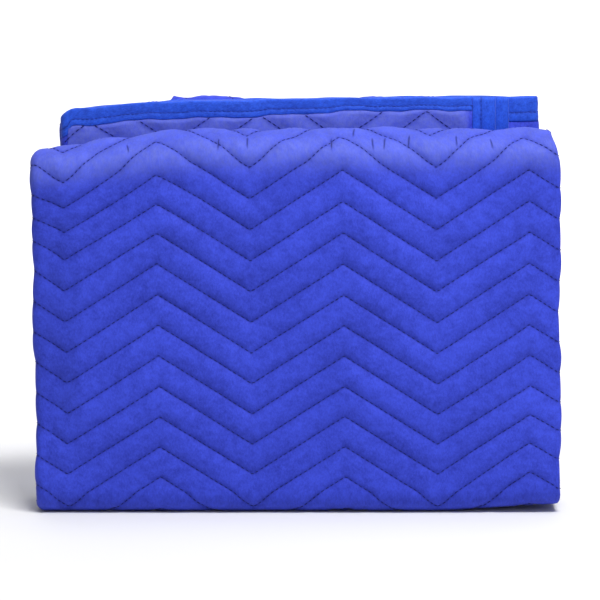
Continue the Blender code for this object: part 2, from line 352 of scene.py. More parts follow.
# How far along the route a point lies from its nearest stitch line, from 0 to half a pitch, and that row
def fromRow(along, across):
    rows = (along - firstRow - zigzag(across)) / quilt["pitch"]
    nearest = np.round(rows)
    return np.abs(rows - nearest) * quilt["pitch"], nearest


# Soft creases laid in the outer face: leg, place across and past the leg's start where one begins,
# the same where it ends, width, and depth, which is below zero where it stands out
creases = (
    ("frontCorner", 0.0165, -0.004, 0.0140, 0.020, 0.0034, 0.0016),
    ("frontCorner", 0.0290, -0.004, 0.0300, 0.022, 0.0036, 0.0017),
    ("frontCorner", 0.0430, -0.004, 0.0470, 0.021, 0.0034, 0.0013),
    ("frontCorner", 0.0550, -0.004, 0.0640, 0.024, 0.0042, 0.0018),
    ("frontCorner", 0.0490, 0.004, 0.0530, 0.030, 0.0050, -0.0008),
    ("frontCorner", 0.0220, 0.004, 0.0200, 0.026, 0.0040, -0.0007),
    ("front", 0.150, -0.006, 0.226, 0.006, 0.0060, 0.0010),
    ("front", 0.165, 0.006, 0.222, 0.022, 0.0070, -0.0009),
    ("front", -0.222, 0.020, -0.206, 0.110, 0.0075, 0.0022),
    ("front", -0.196, 0.045, -0.186, 0.150, 0.0090, -0.0014),
    ("front", -0.214, 0.190, -0.204, 0.262, 0.0080, 0.0020),
    ("front", 0.206, 0.070, 0.213, 0.180, 0.0080, 0.0018),
    ("front", 0.190, 0.160, 0.204, 0.245, 0.0090, -0.0013),
    ("front", -0.060, 0.252, 0.030, 0.266, 0.0080, 0.0008),
    ("front", 0.080, 0.262, 0.175, 0.250, 0.0085, 0.0009),
    ("front", -0.150, 0.205, -0.095, 0.250, 0.0100, -0.0007),
    ("front", 0.020, 0.110, 0.075, 0.128, 0.0120, 0.0008),
    ("front", -0.090, 0.066, -0.010, 0.052, 0.0110, -0.0007),
    ("brow", -0.068, 0.007, -0.070, 0.018, 0.0032, 0.0016),
    ("brow", -0.043, 0.008, -0.042, 0.019, 0.0032, 0.0018),
    ("brow", 0.030, 0.007, 0.031, 0.020, 0.0034, 0.0019),
    ("brow", 0.066, 0.008, 0.068, 0.018, 0.0032, 0.0015),
    ("brow", 0.078, 0.007, 0.077, 0.020, 0.0034, 0.0018),
    ("brow", 0.099, 0.008, 0.097, 0.019, 0.0034, 0.0018),
    ("brow", -0.190, 0.006, -0.150, 0.020, 0.0070, 0.0010),
    ("brow", 0.150, 0.010, 0.205, 0.016, 0.0070, 0.0010),
    ("back", -0.200, 0.060, -0.185, 0.190, 0.0090, 0.0011),
    ("back", 0.196, 0.040, 0.208, 0.150, 0.0090, 0.0010),
    ("back", -0.080, 0.020, 0.020, 0.034, 0.0090, 0.0009),
    ("back", 0.060, 0.250, 0.150, 0.268, 0.0100, -0.0008),
    ("back", -0.140, 0.210, -0.060, 0.236, 0.0110, 0.0009),
    ("backCorner", -0.120, -0.006, -0.112, 0.020, 0.0045, 0.0014),
    ("backCorner", 0.092, -0.006, 0.084, 0.020, 0.0045, 0.0014),
    ("backTurn", -0.100, 0.002, -0.104, 0.018, 0.0045, 0.0012),
    ("backTurn", 0.048, 0.002, 0.050, 0.018, 0.0045, 0.0012),
    ("backTurn", 0.150, 0.004, 0.142, 0.020, 0.0050, 0.0012),
)


def creaseDepth(along, across):
    total = np.zeros(np.broadcast(along, across).shape)
    for leg, across0, along0, across1, along1, width, depth in creases:
        begin = np.array((across0, startOf[leg] + along0))
        run = np.array((across1, startOf[leg] + along1)) - begin
        share = ((across - begin[0]) * run[0] + (along - begin[1]) * run[1]) / (run @ run)
        held = np.clip(share, 0, 1)
        away = np.hypot(across - begin[0] - held * run[0], along - begin[1] - held * run[1])
        ends = 0.35 + 0.65 * np.sin(math.pi * np.clip(held, 0.04, 0.96))
        total += depth * ends * bell(away, width)
    return total


# How far the quilted face lies above its plain height: puffed rows, pinched lines, puckers and creases
def relief(along, across):
    away, row = fromRow(along, across)
    left = 1 - np.clip(2 * away / quilt["pitch"], 0, 1)
    pull = np.sin(2 * math.pi * (across / quilt["pullWave"] + row * 0.37))
    pull = 1 - quilt["pullShare"] + quilt["pullShare"] * pull
    sharp = quilt["sharpShare"] * left ** quilt["sharpPower"]
    soft = (1 - quilt["sharpShare"]) * left ** quilt["softPower"]
    phase = across / quilt["puckerWave"] + row * 0.618
    pucker = quilt["puckerDepth"] * np.sin(2 * math.pi * (phase + 0.35 * np.sin(9 * phase / 7 + row)))
    pillow = quilt["pillow"] + quilt["puffDepth"] * waves(quilt["puffs"], across, along)
    lifted = -quilt["depth"] * pull * (sharp + soft) + pucker * left ** 2 + pillow * (1 - left ** 2)
    calm = easedShare((np.abs(across) - quilt["calmFrom"]) / quilt["calmWidth"])
    return lifted * (1 - quilt["calmShare"] * calm) - creaseDepth(along, across)


# The section of the four sheets: one row of spots for each stretch of the closed outline
def faceSpots(level, side, places):
    return [(place, level, 0, side, False) for place in places]


def bendSpots(centre, level, radius, first, last, outward, pieces):
    spots = []
    for i in range(pieces + 1):
        angle = math.radians(first + (last - first) * i / pieces)
        cos, sin = math.cos(angle), math.sin(angle)
        spots.append((centre + radius * cos, level + radius * sin, outward * cos, outward * sin, False))
    return spots


def hemSpots(level, side, edge):
    past, step = tape["hemPast"], tape["pressedStep"]
    places = (edge - tape["edgeGap"], edge - tape["width"] - past, edge - tape["width"] - (past + step))
    return [(place, level, 0, side, i < 2) for i, place in enumerate(places)]


def padSection():
    top, upper, lower, bottom = levels
    spacing = quilt["step"] / quilt["columnsPerStep"]
    lowest = math.floor((leftCentre - quilt["start"]) / spacing)
    highest = math.ceil((rightCentre - quilt["start"]) / spacing)
    fine = [quilt["start"] + spacing * i for i in range(lowest, highest + 1)]
    fine = [place for place in fine if leftCentre < place < rightCentre]
    coarse = fine[quilt["coarseFirst"]::round(quilt["coarseColumn"] / spacing)]
    innerLast = fold["innerEdge"] - tape["width"] - tape["faceGap"]
    outerLast = fold["outerEdge"] - tape["width"] - tape["faceGap"]
    rightLevel = -fold["sheetPitch"]
    back = coarse[::-1]
    flapFace = [place for place in fine[::-1] if place < outerLast]
    parts = [
        ("crease", bendSpots(leftCentre, 0, wide, 90, 270, 1, 12)),
        ("face", faceSpots(bottom, -1, fine)),
        ("bend", bendSpots(rightCentre, rightLevel, tight, -90, 90, 1, 8)),
        ("inner", faceSpots(lower, 1, back)),
        ("inner", bendSpots(leftCentre, 0, tight, 270, 90, -1, 3)),
        ("inner", faceSpots(upper, -1, [place for place in coarse if place < innerLast])),
        ("inner", hemSpots(upper, -1, fold["innerEdge"])[::-1]),
        ("inner", hemSpots(upper, 1, fold["innerEdge"])),
        ("inner", faceSpots(upper, 1, [place for place in back if place < innerLast])),
        ("inner", bendSpots(leftCentre, 0, tight, 90, 270, 1, 4)),
        ("inner", faceSpots(lower, -1, coarse)),
        ("inner", bendSpots(rightCentre, rightLevel, tight, 90, -90, -1, 3)),
        ("inner", faceSpots(bottom, 1, back)),
        ("inner", bendSpots(leftCentre, 0, wide, 270, 90, -1, 6)),
        ("inner", faceSpots(top, -1, [place for place in coarse if place < outerLast])),
        ("inner", hemSpots(top, -1, fold["outerEdge"])[::-1]),
        ("inner", hemSpots(top, 1, fold["outerEdge"])),
        ("flap", faceSpots(top, 1, flapFace)),
    ]
    spots = [spot for _, part in parts for spot in part]
    kinds = [kind for kind, part in parts for _ in part]
    spots, kinds = np.array(spots, float), np.array(kinds)
    isCoarse = ~np.isin(kinds, ("flap", "face")) | np.isin(spots[:, 0], coarse)
    return spots, kinds, isCoarse


# How much a ring at a distance along the route follows the zigzag: the outer face does, hidden legs don't
def zigzagShare(along):
    first, last = startOf["backTurn"] - quilt["shownMargin"], startOf["insideDown"] + quilt["shownMargin"]
    rising = easedShare((along - first + quilt["blend"]) / quilt["blend"])
    return np.minimum(rising, easedShare((last + quilt["blend"] - along) / quilt["blend"]))


def endShare(along):
    rising = easedShare((along - quilt["flapShown"]) / quilt["endBlend"])
    falling = easedShare((routeLength - quilt["insideBlend"] - along) / quilt["insideBlend"])
    return np.minimum(rising, falling)


# Rings of the pad: distance along, which stretches have it (0 for all, 1 the outer face and rims,
# 2 the outer face where it follows the zigzag, 3 the flap), and if it is pressed under a tape
def padRings():
    bendZones = []
    for leg, start in zip(legs, starts):
        if leg[3]:
            margin = quilt["bendMargin"]
            bendZones.append((start[0] - margin, start[0] + legLength(leg) + margin))
    pressedInner = tape["width"] + tape["hemPast"]
    rings = [(tape["edgeGap"], 0, True), (pressedInner, 0, True)]
    rings.append((pressedInner + tape["pressedStep"], 0, False))
    along = pressedInner + tape["pressedStep"] + quilt["flapRow"]
    while along < quilt["flapShown"]:
        rings.append((along, 3, False))
        along += quilt["flapRow"]
    rings.append((quilt["flapShown"], 0, False))
    firstIndex = math.floor((quilt["flapShown"] - firstRow) / quilt["pitch"])
    lastIndex = math.ceil((routeLength - firstRow) / quilt["pitch"])
    for index in range(firstIndex, lastIndex + 1):
        for phase in quilt["phases"]:
            along = firstRow + (index + phase) * quilt["pitch"]
            if not quilt["flapShown"] + 0.001 < along < routeLength - quilt["insideMargin"]:
                continue
            bending = any(low < along < high for low, high in bendZones)
            fine = 2
            if bending or phase in quilt["coarsePhases"]:
                fine = 0
            elif phase in quilt["mediumPhases"]:
                fine = 1
            if fine < 2 or zigzagShare(along) > 0:
                rings.append((along, fine, False))
    rings.append((routeLength - pressedInner - tape["pressedStep"], 0, False))
    rings.append((routeLength - pressedInner, 0, True))
    rings.append((routeLength - tape["edgeGap"], 0, True))
    return rings


# Those of the present rings or columns that lie from one to another, with both
def between(present, first, last):
    if last - first == 1:
        return [first, last]
    return [place for place in present if first <= place <= last]


# Polygons between chosen rings and chosen columns of a grid whose cells may have extra points on their sides
def gridFaces(blocks, ringColumns, columnRings, pointAt, count):
    faces = []
    for blockRings, blockColumns in blocks:
        for low, high in zip(blockRings, blockRings[1:]):
            for first, last in zip(blockColumns, blockColumns[1:]):
                corners = [pointAt[low, c % count] for c in between(ringColumns[low], first, last)]
                side = between(columnRings[last % count], low, high)[1:-1]
                corners += [pointAt[r, last % count] for r in side]
                corners += [pointAt[high, c % count] for c in between(ringColumns[high], first, last)[::-1]]
                side = between(columnRings[first % count], low, high)[1:-1]
                corners += [pointAt[r, first % count] for r in side[::-1]]
                faces.append(corners)
    return faces


# The flap's end tape is folded off its middle: its shown side is narrower, and the hem's places move with it
def shownWidth(across):
    share = eased(tape["shownAcross"], tape["shownShare"], across)
    for wave, size in tape["shownWaves"]:
        share = share + size * np.sin(2 * math.pi * across / wave)
    return share


def hemPlace(along, across):
    hem = tape["width"] + (tape["hemPast"] + tape["pressedStep"])
    share = shownWidth(across)
    beyond = (quilt["flapShown"] - hem * share) / (quilt["flapShown"] - hem)
    return np.where(along < hem, along * share, hem * share + (along - hem) * beyond)


# The flap's cloth lies flatter than the outer face
def flapRelief(along, across):
    height = relief(along, across)
    return height * np.where(height < 0, quilt["flapGrooves"], quilt["flapPuffs"])


def buildPad():
    section, kindAt, isCoarse = padSection()
    count = len(section)
    rings = padRings()
    ringAlong, fineness, ringPressed = (np.array(values) for values in zip(*rings))
    stretches = ("crease", "face", "bend", "flap")
    crease, face, bend, flap = (np.flatnonzero(kindAt == kind) for kind in stretches)
    hidden = np.arange(bend[-1] + 1, count)

    # rows of each column lie along the zigzag on the outer face, and nearly straight on hidden faces
    zig = zigzag(section[:, 0])
    skew, extra = zig.copy(), np.zeros(count)
    skew[face] = np.linspace(zig[crease[-1]], zig[bend[0]], len(face) + 2)[1:-1]
    skew[hidden] = np.linspace(zig[bend[-1]], zig[crease[0]], len(hidden) + 2)[1:-1]
    extra[face] = zig[face] - skew[face]

    # the outer face's fine rings begin and end on a ring that every stretch has
    shownRings = zigzagShare(ringAlong) > 0
    coarseRings = np.flatnonzero(fineness == 0).tolist()
    rimRings = np.flatnonzero((fineness <= 1) | ((fineness == 2) & shownRings)).tolist()
    faceRings = np.flatnonzero((fineness <= 2) & shownRings)
    beforeFace = [r for r in coarseRings if r <= faceRings[0]]
    afterFace = [r for r in coarseRings if r >= faceRings[-1]]
    faceRings = [beforeFace[-1], *(r for r in faceRings if beforeFace[-1] < r < afterFace[0]), afterFace[0]]
    flapFirst = next(r for r in coarseRings if not ringPressed[r])
    flapRings = [r for r in range(flapFirst, len(rings)) if ringAlong[r] <= quilt["flapShown"] + 1e-9]

    coarseFace = [crease[-1], *face[isCoarse[face]], bend[0]]
    blocks = [
        (rimRings, crease),
        (rimRings, bend),
        (faceRings, [crease[-1], *face, bend[0]]),
        (beforeFace, coarseFace),
        (afterFace, coarseFace),
        (coarseRings, [bend[-1], *(c for c in hidden if isCoarse[c] and c < flap[0])]),
        ([r for r in coarseRings if r <= flapFirst], [flap[0] - 1, *flap, count]),
        (flapRings, [flap[0] - 1, *flap, count]),
        ([r for r in coarseRings if r >= flapRings[-1]], [flap[0] - 1, *flap[isCoarse[flap]], count]),
    ]
    blocks = [([int(r) for r in some], [int(c) for c in others]) for some, others in blocks]
    order = sorted({(r, c % count) for some, others in blocks for r in some for c in others})
    pointAt = {key: i for i, key in enumerate(order)}
    ringColumns = {r: [] for r in range(len(rings))}
    columnRings = {c: [] for c in range(count)}
    for r, c in order:
        ringColumns[r].append(c)
        columnRings[c].append(r)
    for columns in ringColumns.values():
        if columns and columns[0] == 0:
            columns.append(count)
    faces = gridFaces(blocks, ringColumns, columnRings, pointAt, count)
    for ring, turn in ((coarseRings[0], -1), (coarseRings[-1], 1)):
        faces.append([pointAt[ring, c] for c in ringColumns[ring][:-1]][::turn])

    r, c = np.array(order).T
    across, kind, shownShare = section[c, 0], kindAt[c], zigzagShare(ringAlong[r])
    along = ringAlong[r] + endShare(ringAlong[r]) * (skew[c] + shownShare * extra[c])
    along = np.where((kind == "flap") & (ringAlong[r] < quilt["flapShown"]), hemPlace(along, across), along)
    pressed = ringPressed[r] | (section[c, 4] > 0.5)
    off = np.where(pressed, tape["pressedHalf"], half)
    inner = (kind == "inner") & (section[c, 4] < 0.5)  # these have few columns, so they lie further in
    off = off + inner * np.where(pressed, fold["pressedPush"], fold["hiddenPush"])
    isRim = (kind == "crease") | (kind == "bend")
    onFlap = (kind == "flap") & (ringAlong[r] <= quilt["flapShown"])
    shown = np.where(isRim | onFlap, 1.0, (kind == "face") * shownShare)
    shown = np.where(pressed, 0, shown)
    height = np.where(onFlap, flapRelief(along, across), relief(along, across))
    onBase = bell(along - startOf["base"] - quilt["baseMiddle"], quilt["baseReach"])
    pressing = np.minimum(quilt["baseFlattening"] * onBase, 1)
    height = np.where(height > 0, height * (1 - pressing), height)
    height = np.where(isRim & (shownShare == 0), np.minimum(height, 0), height)
    off = off + shown * height
    points = bundlePoints(along, across + section[c, 2] * off, section[c, 1] + section[c, 3] * off)

    mesh = bpy.data.meshes.new("quilted_blanket")
    mesh.from_pydata(points.tolist(), [], faces)
    mesh.update()
    addAttribute(mesh, "quiltPlace", np.stack([along, across, np.where(shown > 0, 1.0, 0.0)], axis=-1))
    # Lighter colour on the ridge and brow is wear and painted light; on the flap it is painted light
    wearAndPaintedLightAmount = 0
    for leg, past, width, share in quilt["wearAndPaintedLight"]:
        wearAndPaintedLightAmount = wearAndPaintedLightAmount + share * bell(along - startOf[leg] - past, width)
    wearAndPaintedLightAmount = wearAndPaintedLightAmount + (kind == "flap") * easedShare((quilt["flapShown"] - along) / quilt["flapPaintedLight"])
    addAttribute(mesh, "wearAndPaintedLight", np.clip(wearAndPaintedLightAmount, 0, 1))
    steps = np.diff(section[:, :2] + half * section[:, 2:4], axis=0)
    girth = np.concatenate([[0], np.cumsum(np.hypot(*steps.T))])
    addMap(mesh, girth[c], along)
    return finishMesh("quilted_blanket", mesh)


# A number or a vector for each point
def addAttribute(mesh, name, values):
    kind, field = ("FLOAT", "value") if values.ndim == 1 else ("FLOAT_VECTOR", "vector")
    attribute = mesh.attributes.new(name, kind, "POINT")
    attribute.data.foreach_set(field, values.astype(np.float32).ravel())


def addMap(mesh, u, v):
    layer = mesh.uv_layers.new(name="clothMap")
    corner = np.zeros(len(mesh.loops), np.int32)
    mesh.loops.foreach_get("vertex_index", corner)
    layer.data.foreach_set("uv", np.stack([u[corner], v[corner]], axis=-1).astype(np.float32).ravel())


def linked(name, data):
    obj = bpy.data.objects.new(name, data)
    bpy.context.scene.collection.objects.link(obj)
    return obj


def triangleCount(mesh):
    return sum(len(polygon.vertices) - 2 for polygon in mesh.polygons)


# Links a closed mesh as a piece, with its faces pointing out
def finishMesh(name, mesh):
    bm = bmesh.new()
    bm.from_mesh(mesh)
    if bm.calc_volume(signed=True) < 0:
        bmesh.ops.reverse_faces(bm, faces=bm.faces[:])
    loose = sum(1 for edge in bm.edges if len(edge.link_faces) != 2)
    bm.to_mesh(mesh)
    bm.free()
    mesh.shade_smooth()
    print(name, triangleCount(mesh), "triangles, open edges", loose)
    return linked(name, mesh)


pad = buildPad()


# A tape's closed outline: how far in from the edge and how far off the sheet's middle
def tapeOutline():
    width, seam = tape["width"], tape["stitchFrom"]
    outline = []
    for inwards in tape["outline"]:
        if inwards >= seam:
            puff, turn = tape["innerPuff"], min((inwards - seam) / (width - seam), 0.999)
        else:
            puff, turn = tape["outerPuff"], 1 - 0.6 * (1 - inwards / seam) ** 1.3
        outline.append((inwards, tape["coverHalf"] + puff * math.sin(math.pi * turn) ** 0.6))
    back = [(inwards, -off) for inwards, off in outline[::-1]]
    nose = outline[-1][1]
    for angle in (60, 30, 0, -30, -60):
        cos, sin = math.cos(math.radians(angle)), math.sin(math.radians(angle))
        outline.append((tape["noseLength"] * (1 - cos), nose * sin))
    inner = tape["pressedHalf"] + 0.00006
    return outline + back + [(width, -inner), (0.0020, -inner), (0.0009, 0), (0.0020, inner), (width, inner)]


def tapeMesh(name, stations, place, length):
    outline = tapeOutline()
    inwards = np.array([point[0] for point in outline])
    off = np.array([point[1] for point in outline])
    rows, columns = len(stations), len(outline)
    points = np.concatenate([place(station, inwards, off) for station in stations])
    index = np.arange(rows * columns).reshape(rows, columns)
    after = np.roll(index, -1, axis=1)
    faces = np.stack([index[:-1], after[:-1], after[1:], index[1:]], axis=-1).reshape(-1, 4).tolist()
    faces += [index[0, ::-1].tolist(), index[-1].tolist()]
    mesh = bpy.data.meshes.new(name)
    mesh.from_pydata(points.tolist(), [], faces)
    mesh.update()
    girth = np.concatenate([[0], np.cumsum(np.hypot(np.diff(inwards), np.diff(off)))])
    u, v = np.tile(girth, rows), np.repeat(np.array(length), columns)
    addAttribute(mesh, "seam", np.tile(bell(inwards - tape["stitchFrom"], tape["seamWidth"]), rows))
    addMap(mesh, u, v)
    return finishMesh(name, mesh)


# Small puckers of a tape, two where its stitching gathers it and a slow one: wave, share of the seed, size.
# They set in from one height off the sheet's middle and are full after another
def tapePucker(inwards, along, seed):
    first, second, slow = (
        size * np.sin(2 * math.pi * (along / wave + share * seed)) for wave, share, size in tape["puckers"]
    )
    return bell(inwards - tape["stitchFrom"], tape["puckerReach"]) * (first + second) + slow


def sideTape(name, level, edge, seed):
    low, growth = tape["sidePuckers"]
    stations = []
    for leg, start in zip(legs, starts):
        length = legLength(leg)
        pieces = max(1, math.ceil(length / tape["bendStep" if leg[3] else "stationStep"]))
        stations += [start[0] + length * i / pieces for i in range(pieces)]
    stations.append(routeLength)

    def place(station, inwards, off):
        outer = np.abs(off) > tape["pressedHalf"] + 0.0001
        outer = outer * np.clip((np.abs(off) - low) / growth, 0, 1)
        moved = off + np.sign(off) * outer * tapePucker(inwards, station, seed)
        return bundlePoints(np.full(len(off), station), edge - inwards, level + moved)

    return tapeMesh(name, stations, place, stations)


def widthPath():
    top, upper, lower, bottom = levels
    innerStart = fold["innerEdge"] - tape["width"] - tape["pathGap"]
    outerStart = fold["outerEdge"] - tape["width"] - tape["pathGap"]

    def run(level, side, first, last):
        pieces = math.ceil(abs(last - first) / tape["stationStep"])
        return faceSpots(level, side, [first + (last - first) * i / pieces for i in range(pieces + 1)])

    path = run(upper, 1, innerStart, leftCentre)[:-1]
    path += bendSpots(leftCentre, 0, tight, 90, 270, 1, 5)
    path += run(lower, -1, leftCentre, rightCentre)[1:-1]
    path += bendSpots(rightCentre, -fold["sheetPitch"], tight, 90, -90, -1, 5)
    path += run(bottom, 1, rightCentre, leftCentre)[1:-1]
    path += bendSpots(leftCentre, 0, wide, 270, 90, -1, 9)
    firstShown = len(path)
    path += run(top, -1, leftCentre, outerStart)[1:]
    return np.array(path, float), firstShown


def endTape(name, first, towards, seed):
    low, growth = tape["endPuckers"]
    path, firstShown = widthPath()
    length = np.concatenate([[0], np.cumsum(np.hypot(*np.diff(path[:, :2], axis=0).T))])

    def place(index, inwards, off):
        spot, gone = path[index], length[index]
        flat = 1.0 if spot[2] == 0 else 0.0
        side = np.sign(off)
        most = np.where(np.abs(off) > half, half + flat * (np.abs(off) - half), np.abs(off))
        outer = np.clip((most - low) / growth, 0, 1)
        moved = side * (most + outer * flat * tapePucker(inwards, gone, seed))
        if towards > 0 and index >= firstShown:
            inwards = np.where(off < 0, inwards * shownWidth(spot[0]), inwards)
        along = first + towards * inwards
        return bundlePoints(along, spot[0] + spot[2] * moved, spot[1] + spot[3] * moved)

    return tapeMesh(name, range(len(path)), place, length)


tapes = [
    sideTape("edge_tape_outer", levels[0], fold["outerEdge"], 0.13),
    sideTape("edge_tape_inner", levels[1], fold["innerEdge"], 0.57),
    endTape("end_tape_flap", 0, 1, 0.31),
    endTape("end_tape_inside", routeLength, -1, 0.83),
]


# Fills in a node's sockets: numbers, colours and vectors are set, other sockets are linked, None is left out
def fill(tree, node, values):
    for name, value in values.items():
        socket = node.inputs[name]
        if isinstance(value, (int, float)):
            socket.default_value = value
        elif isinstance(value, tuple):
            socket.default_value = (*value, 1)[:len(socket.default_value)]
        elif isinstance(value, bpy.types.NodeSocket):
            tree.links.new(value, socket)


def addNode(tree, kind, values, **settings):
    node = tree.nodes.new(kind)
    for name, value in settings.items():
        setattr(node, name, value)
    fill(tree, node, values)
    return node


# A node group; an input is given by the kind of its socket or by the number it starts from
def newGroup(name, inputs, outputs, kind="ShaderNodeTree"):
    tree = bpy.data.node_groups.new(name, kind)
    for label, value in inputs.items():
        sort = value
        if not isinstance(value, str):
            sort = "Int" if isinstance(value, int) else "Float"
        socket = tree.interface.new_socket(name=label, in_out="INPUT", socket_type="NodeSocket" + sort)
        if value is not sort:
            socket.default_value = value
    for label, sort in outputs.items():
        tree.interface.new_socket(name=label, in_out="OUTPUT", socket_type="NodeSocket" + sort)
    return tree, tree.nodes.new("NodeGroupInput").outputs, tree.nodes.new("NodeGroupOutput")


# Thread: a bead for each stitch, set along polylines by Geometry Nodes
thread = {
    "stitchPitch": 0.0049,
    "stitchLength": 0.0034,
    "tapePitch": 0.0040,
    "tapeLength": 0.0033,
    "width": 0.00090,
    "lift": 0.00022,
    "sides": 6,
    "rings": 4,
    "wander": 0.10,
    "seed": 7,
    "rimsPast": 0.006,
    "hemPast": 0.0008,
    "rowMargin": 0.03,
    "tapeSpacing": 0.003,
}


def stitchTree():
    tree, given, out = newGroup("stitchesOnLines", {
        "Lines": "Geometry", "Stitch Pitch": 0.005, "Stitch Length": 0.004, "Thread Width": 0.0006,
        "Wander": 0.1, "Seed": 1, "Material": "Material",
    }, {"Thread": "Geometry"}, "GeometryNodeTree")
    curve = addNode(tree, "GeometryNodeMeshToCurve", {"Mesh": given["Lines"]})
    spaced = addNode(tree, "GeometryNodeResampleCurve", {
        "Curve": curve.outputs["Curve"], "Length": given["Stitch Pitch"],
    }, mode="LENGTH")
    tangent = addNode(tree, "GeometryNodeInputTangent", {})
    turn = addNode(tree, "FunctionNodeAlignRotationToVector", {
        "Vector": tangent.outputs["Tangent"],
    }, axis="Z")
    bead = addNode(tree, "GeometryNodeMeshUVSphere", {
        "Segments": thread["sides"], "Rings": thread["rings"], "Radius": 0.5,
    })
    smooth = addNode(tree, "GeometryNodeSetShadeSmooth", {"Geometry": bead.outputs["Mesh"]})
    low = addNode(tree, "ShaderNodeMath", {0: 1, 1: given["Wander"]}, operation="SUBTRACT")
    high = addNode(tree, "ShaderNodeMath", {0: 1, 1: given["Wander"]}, operation="ADD")
    wander = addNode(tree, "FunctionNodeRandomValue", {
        2: low.outputs[0], 3: high.outputs[0], "Seed": given["Seed"],
    }, data_type="FLOAT")
    size = addNode(tree, "ShaderNodeCombineXYZ", {
        "X": given["Thread Width"], "Y": given["Thread Width"], "Z": given["Stitch Length"],
    })
    varied = addNode(tree, "ShaderNodeVectorMath", {
        0: size.outputs["Vector"], "Scale": wander.outputs[1],
    }, operation="SCALE")
    place = addNode(tree, "GeometryNodeInstanceOnPoints", {
        "Points": spaced.outputs["Curve"], "Instance": smooth.outputs["Geometry"],
        "Rotation": turn.outputs["Rotation"], "Scale": varied.outputs["Vector"],
    })
    real = addNode(tree, "GeometryNodeRealizeInstances", {"Geometry": place.outputs["Instances"]})
    paint = addNode(tree, "GeometryNodeSetMaterial", {
        "Geometry": real.outputs["Geometry"], "Material": given["Material"],
    })
    fill(tree, out, {"Thread": paint.outputs["Geometry"]})
    return tree


# Bakes stitches along polylines into one plain mesh
def sewLines(name, lines, tree, material, pitch, length, seed):
    points = np.concatenate(lines)
    points[:, 2] = np.maximum(points[:, 2], thread["width"] / 2)
    edges, first = [], 0
    for line in lines:
        edges += [(first + i, first + i + 1) for i in range(len(line) - 1)]
        first += len(line)
    mesh = bpy.data.meshes.new(name + "_lines")
    mesh.from_pydata(points.tolist(), edges, [])
    lineObject = linked(name + "_lines", mesh)
    modifier = lineObject.modifiers.new("stitches", "NODES")
    modifier.node_group = tree
    values = {
        "Stitch Pitch": pitch, "Stitch Length": length, "Thread Width": thread["width"],
        "Wander": thread["wander"], "Seed": seed, "Material": material,
    }
    for item in tree.interface.items_tree:
        if item.in_out == "INPUT" and item.name in values:
            modifier[item.identifier] = values[item.name]
    evaluated = lineObject.evaluated_get(bpy.context.evaluated_depsgraph_get())
    baked = bpy.data.meshes.new_from_object(evaluated)
    baked.name = name
    bpy.data.objects.remove(lineObject)
    print(name, triangleCount(baked), "triangles")
    return linked(name, baked)


# Runs of a polyline where it is wanted
def keptRuns(points, wanted):
    cuts = np.flatnonzero(np.diff(wanted)) + 1
    parts = np.split(np.arange(len(points)), cuts)
    return [points[part] for part in parts if wanted[part[0]] and len(part) > 1]


def quiltLines():
    section, kindAt, _ = padSection()
    isOuter = np.isin(kindAt, ("crease", "face", "bend"))
    outer, outerKind, flap = section[isOuter], kindAt[isOuter], section[kindAt == "flap"]
    margin = quilt["insideMargin"]
    lines = []
    lowest = math.floor((thread["rowMargin"] - firstRow) / quilt["pitch"])
    highest = math.ceil((routeLength - thread["rowMargin"] - firstRow) / quilt["pitch"])
    for row in range(lowest, highest + 1):
        along = firstRow + row * quilt["pitch"] + zigzag(outer[:, 0])
        off = half + relief(along, outer[:, 0]) + thread["lift"]
        points = bundlePoints(along, outer[:, 0] + outer[:, 2] * off, outer[:, 1] + outer[:, 3] * off)
        inShown = along > startOf["backTurn"] - thread["rimsPast"]
        inShown = inShown & (along < startOf["insideDown"] + thread["rimsPast"])
        atRim = (outerKind != "face") & (along > margin) & (along < routeLength - margin)
        lines += keptRuns(points, inShown | atRim)
    hem = tape["width"] * shownWidth(flap[:, 0]) + thread["hemPast"]
    for row in range(lowest - 2, lowest + 4):
        along = firstRow + row * quilt["pitch"] + zigzag(flap[:, 0])
        off = half + flapRelief(along, flap[:, 0]) + thread["lift"]
        points = bundlePoints(along, flap[:, 0], flap[:, 1] + off)
        lines += keptRuns(points, (along > hem) & (along < quilt["flapShown"]))
    return lines


def tapeLines():
    off = tape["coverHalf"] + thread["lift"]
    spacing = thread["tapeSpacing"]
    alongs = np.arange(spacing, routeLength - spacing, spacing)
    lines = []
    for level, edge in ((levels[0], fold["outerEdge"]), (levels[1], fold["innerEdge"])):
        for side in (1, -1):
            lines.append(bundlePoints(alongs, edge - tape["stitchFrom"], level + side * off))
    path, firstShown = widthPath()
    for first, towards in ((0, 1), (routeLength, -1)):
        for side in (1, -1):
            across, depth = (path[:, :2] + side * path[:, 2:4] * off).T
            inwards = np.full(len(path), tape["stitchFrom"])
            if towards > 0 and side < 0:
                inwards[firstShown:] *= shownWidth(path[firstShown:, 0])
            lines.append(bundlePoints(first + towards * inwards, across, depth))
    return lines


